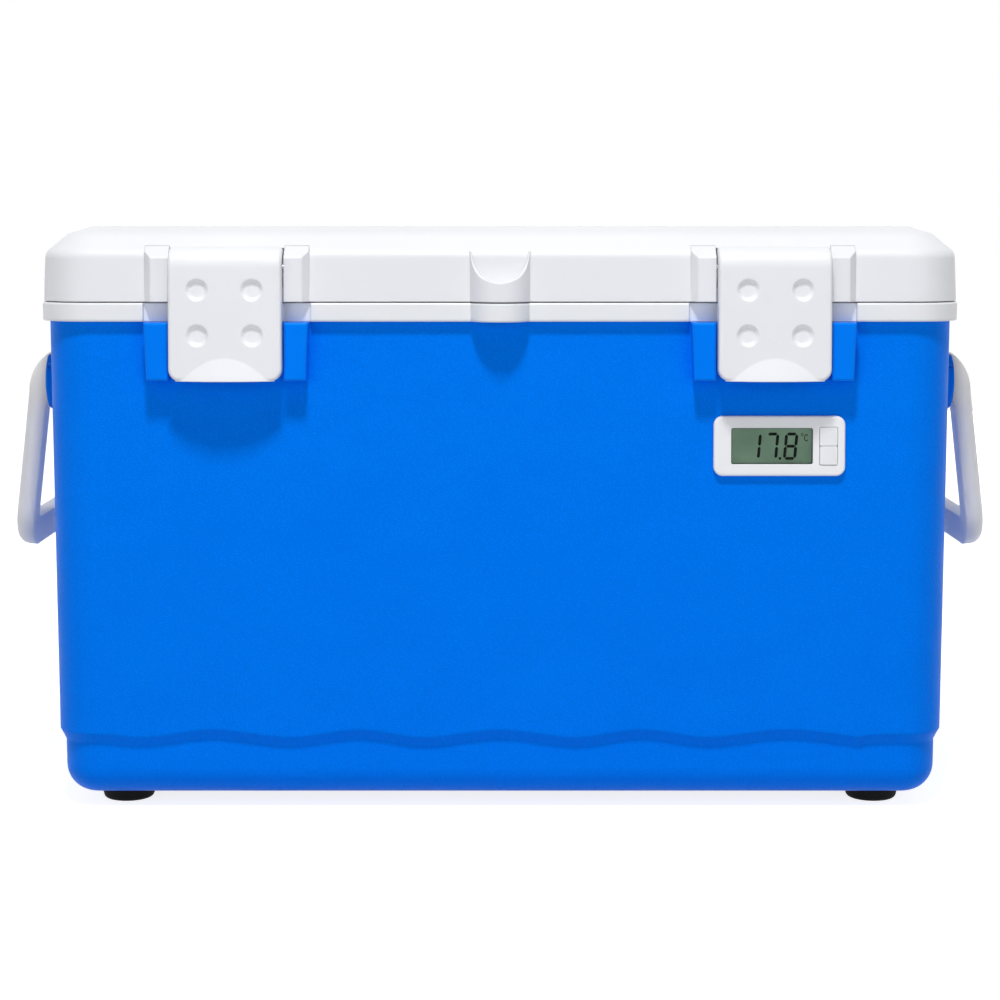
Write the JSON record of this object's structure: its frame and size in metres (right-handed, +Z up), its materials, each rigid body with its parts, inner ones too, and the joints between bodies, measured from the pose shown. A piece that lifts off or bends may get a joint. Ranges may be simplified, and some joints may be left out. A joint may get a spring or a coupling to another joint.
{
  "type": "portable cooler",
  "caption": "Insulated portable cooler box with a hinged lid, snap latches, swing end handles, rubber feet and a panel thermometer with push buttons.",
  "frame": {"origin": "under the middle of the overall box, on the surface that the feet stand on", "axes": "+X to the right end as seen from the front, +Y from the front to the back, +Z up"},
  "size_m": [0.5928, 0.3802, 0.3451],
  "materials": {
    "grained_blue": "satin",
    "smooth_blue": "satin",
    "white_plastic": "satin",
    "rigid_foam": "matte",
    "grey_rubber": "matte",
    "black_rubber": "matte",
    "lead_rubber": "satin",
    "steel": "satin",
    "battery_steel": "satin",
    "clear_window": "gloss",
    "display": "satin",
    "board": "satin",
    "dark_plastic": "matte"
  },
  "bodies": {
    "box": {"battery": "battery_steel", "body_foam": "rigid_foam", "circuit_board": "board", "display_window": "clear_window", "front_left_foot": "black_rubber", "front_left_foot_screw": "steel", "front_right_foot": "black_rubber", "front_right_foot_screw": "steel", "inner_liner": "white_plastic", "lcd_panel": "display", "left_body_screw_inner": "steel", "left_body_screw_outer": "steel", "left_front_handle_pin": "steel", "left_hinge_body_leaf": "white_plastic", "left_hinge_pin": "steel", "left_inner_guard": "smooth_blue", "left_keeper": "smooth_blue", "left_outer_guard": "smooth_blue", "left_rear_handle_pin": "steel", "outer_shell": "grained_blue", "rear_left_foot": "black_rubber", "rear_left_foot_screw": "steel", "rear_right_foot": "black_rubber", "rear_right_foot_screw": "steel", "right_body_screw_inner": "steel", "right_body_screw_outer": "steel", "right_front_handle_pin": "steel", "right_hinge_body_leaf": "white_plastic", "right_hinge_pin": "steel", "right_inner_guard": "smooth_blue", "right_keeper": "smooth_blue", "right_outer_guard": "smooth_blue", "right_rear_handle_pin": "steel", "sensor_lead": "lead_rubber", "sensor_probe": "steel", "thermometer_bezel": "white_plastic", "thermometer_case": "dark_plastic"},
    "lid": {"lid_shell": "white_plastic", "lid_foam": "rigid_foam", "lid_panel": "white_plastic", "lid_gasket": "grey_rubber", "left_latch_pin": "steel", "right_latch_pin": "steel", "left_hinge_lid_leaf": "white_plastic", "right_hinge_lid_leaf": "white_plastic", "left_lid_screw_inner": "steel", "left_lid_screw_outer": "steel", "right_lid_screw_inner": "steel", "right_lid_screw_outer": "steel"},
    "left_latch": {"left_latch": "white_plastic"},
    "right_latch": {"right_latch": "white_plastic"},
    "left_handle": {"left_handle": "white_plastic"},
    "right_handle": {"right_handle": "white_plastic"},
    "upper_button": {"upper_button": "white_plastic"},
    "lower_button": {"lower_button": "white_plastic"}
  },
  "joints": [
    {"name": "lid_hinge", "type": "hinge", "parent": "box", "child": "lid", "pos_m": [0, 0.18475, 0.3009], "axis": [-1, 0, 0], "range_deg": [0, 100]},
    {"name": "left_latch_pivot", "type": "hinge", "parent": "lid", "child": "left_latch", "pos_m": [-0.1587, -0.17435, 0.3213], "axis": [-1, 0, 0], "range_deg": [0, 120]},
    {"name": "left_handle_pivot", "type": "hinge", "parent": "box", "child": "left_handle", "pos_m": [-0.27144, 0.00215, 0.2611], "axis": [0, 1, 0], "range_deg": [0, 95]},
    {"name": "right_latch_pivot", "type": "hinge", "parent": "lid", "child": "right_latch", "pos_m": [0.1587, -0.17435, 0.3213], "axis": [-1, 0, 0], "range_deg": [0, 120]},
    {"name": "right_handle_pivot", "type": "hinge", "parent": "box", "child": "right_handle", "pos_m": [0.27144, 0.00215, 0.2611], "axis": [0, -1, 0], "range_deg": [0, 95]},
    {"name": "upper_button_press", "type": "slide", "parent": "box", "child": "upper_button", "axis": [0, 1, 0], "range_m": [0, 0.0008], "stiffness_N_per_m": 600, "springref_m": -0.001},
    {"name": "lower_button_press", "type": "slide", "parent": "box", "child": "lower_button", "axis": [0, 1, 0], "range_m": [0, 0.0008], "stiffness_N_per_m": 600, "springref_m": -0.001}
  ]
}
